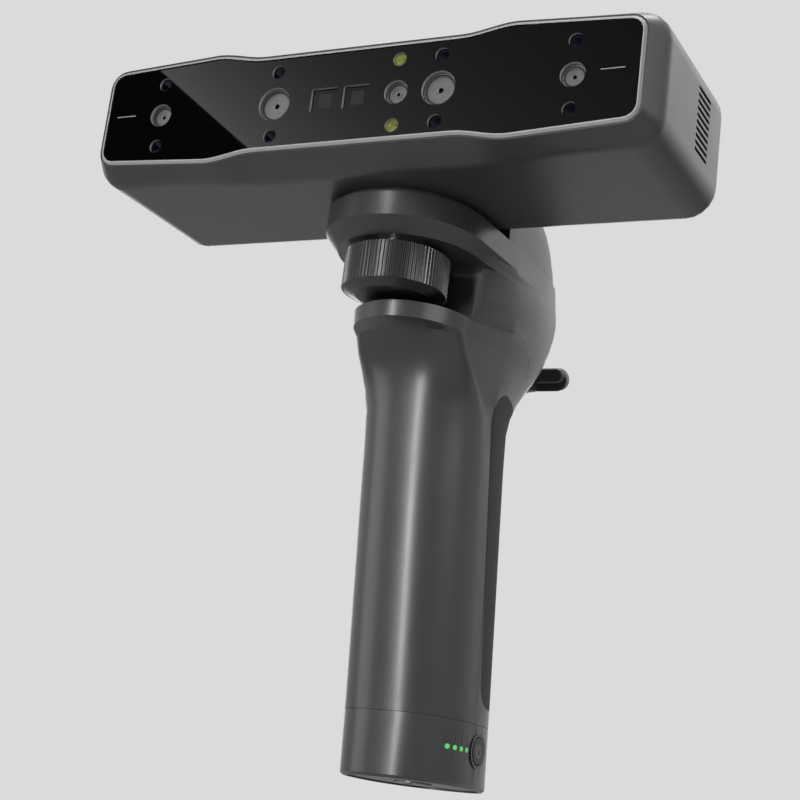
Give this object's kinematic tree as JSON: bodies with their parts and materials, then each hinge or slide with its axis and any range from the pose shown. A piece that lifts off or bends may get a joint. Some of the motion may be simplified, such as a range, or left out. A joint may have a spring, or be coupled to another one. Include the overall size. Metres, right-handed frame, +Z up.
{
  "type": "handheld 3-D scanner",
  "caption": "Handheld 3-D scanner: a wide camera head with a black glass front on a battery handle, held by a knurled thumb screw, with a sprung telephone clamp.",
  "frame": {"origin": "centre of the handle's bottom face, at the mouth of its tripod thread", "axes": "+Z up along the handle, -Y the way the cameras look, +X the end with the status lights"},
  "size_m": [0.205, 0.1614, 0.232],
  "materials": {
    "graphite_shell": "satin graphite grey",
    "dark_shell": "matt near-black",
    "black_plastic": "matt black",
    "black_gloss": "glossy black",
    "rim_metal": "satin light grey",
    "black_glass": "polished black glass",
    "infrared_window": "deep blue filter glass",
    "yellow_lamp": "yellow phosphor under a clear dome",
    "dark_window": "dark filter glass",
    "lens_mount": "dark anodised",
    "lens_glass": "coated lens",
    "dark_steel": "dark plated",
    "cast_bench": "as cast",
    "bare_aluminium": "bare",
    "circuit_board": "green solder mask",
    "screw_steel": "zinc plated",
    "insert_brass": "turned",
    "insert_steel": "turned",
    "knob_metal": "dark anodised, knurled",
    "pad_rubber": "matt",
    "grip_rubber": "matt dark grey-brown",
    "cell_wrap": "shrink wrap",
    "green_light": "lit green"
  },
  "bodies": {
    "frame": {"front_rim": "rim_metal", "front_glass": "black_glass", "lamp_windows": "infrared_window", "fill_lenses": "yellow_lamp", "projector_windows": "dark_window", "outer_left_barrel": "lens_mount", "outer_right_barrel": "lens_mount", "inner_left_barrel": "lens_mount", "inner_right_barrel": "lens_mount", "colour_barrel": "lens_mount", "outer_left_lens": "lens_glass", "outer_right_lens": "lens_glass", "inner_left_lens": "lens_glass", "inner_right_lens": "lens_glass", "colour_lens": "lens_glass", "projector_units": "dark_steel", "lamp_board": "circuit_board", "optical_bench": "cast_bench", "bench_screws": "screw_steel", "sensor_boards": "circuit_board", "main_board": "circuit_board", "heat_sink": "bare_aluminium", "head_shell": "graphite_shell", "back_cover": "graphite_shell", "back_screws": "screw_steel", "vent_screen_left": "black_plastic", "vent_screen_right": "black_plastic", "fan_frame": "black_plastic", "button_board": "circuit_board", "data_inlet": "screw_steel", "head_insert": "insert_brass", "head_pad": "pad_rubber", "yoke": "graphite_shell", "clamp_body": "dark_shell", "clamp_screws": "screw_steel", "lower_jaw": "dark_shell", "lower_pad": "pad_rubber", "rest_pad": "pad_rubber", "grip_shell": "graphite_shell", "rubber_grip": "grip_rubber", "yoke_screws": "screw_steel", "battery_cells": "cell_wrap", "battery_holder": "black_plastic", "handle_board": "circuit_board", "base_cap": "graphite_shell", "base_plate": "dark_shell", "base_screws": "screw_steel", "tripod_insert": "insert_steel", "charge_inlet": "screw_steel", "cap_board": "circuit_board", "power_bezel": "black_gloss", "charge_lights": "green_light"},
    "screw_carriage": {"thrust_washer": "screw_steel"},
    "knob": {"knob": "knob_metal", "clamp_stud": "screw_steel"},
    "fan": {"fan_rotor": "black_plastic"},
    "telephone_jaw": {"upper_jaw": "dark_shell", "upper_pad": "pad_rubber"},
    "scan_button": {"scan_button": "black_gloss"},
    "power_button": {"power_button": "black_plastic"}
  },
  "joints": [
    {"name": "screw_travel", "type": "slide", "parent": "frame", "child": "screw_carriage", "axis": [0, 0, 1], "range_m": [-0.00127, 0]},
    {"name": "knob_turn", "type": "hinge", "parent": "screw_carriage", "child": "knob", "pos_m": [0, -0.0586, 0.163], "axis": [0, 0, 1], "range_deg": [-360, 0]},
    {"name": "fan_spin", "type": "hinge", "parent": "frame", "child": "fan", "pos_m": [0.0955, -0.0575, 0.21045], "axis": [1, 0, 0], "continuous": true},
    {"name": "jaw_slide", "type": "slide", "parent": "frame", "child": "telephone_jaw", "axis": [0, -0.342, 0.9397], "range_m": [0, 0.024], "stiffness_N_per_m": 110, "springref_m": -0.03},
    {"name": "scan_press", "type": "slide", "parent": "frame", "child": "scan_button", "axis": [0, -1, 0], "range_m": [0, 0.0005], "stiffness_N_per_m": 1200, "springref_m": -0.0005},
    {"name": "power_press", "type": "slide", "parent": "frame", "child": "power_button", "axis": [-1, 0, 0], "range_m": [0, 0.0005], "stiffness_N_per_m": 1200, "springref_m": -0.0005}
  ],
  "couplings": [
    {"joint": "knob_turn", "follows": "screw_travel", "rad_per_m": 4947.4}
  ]
}
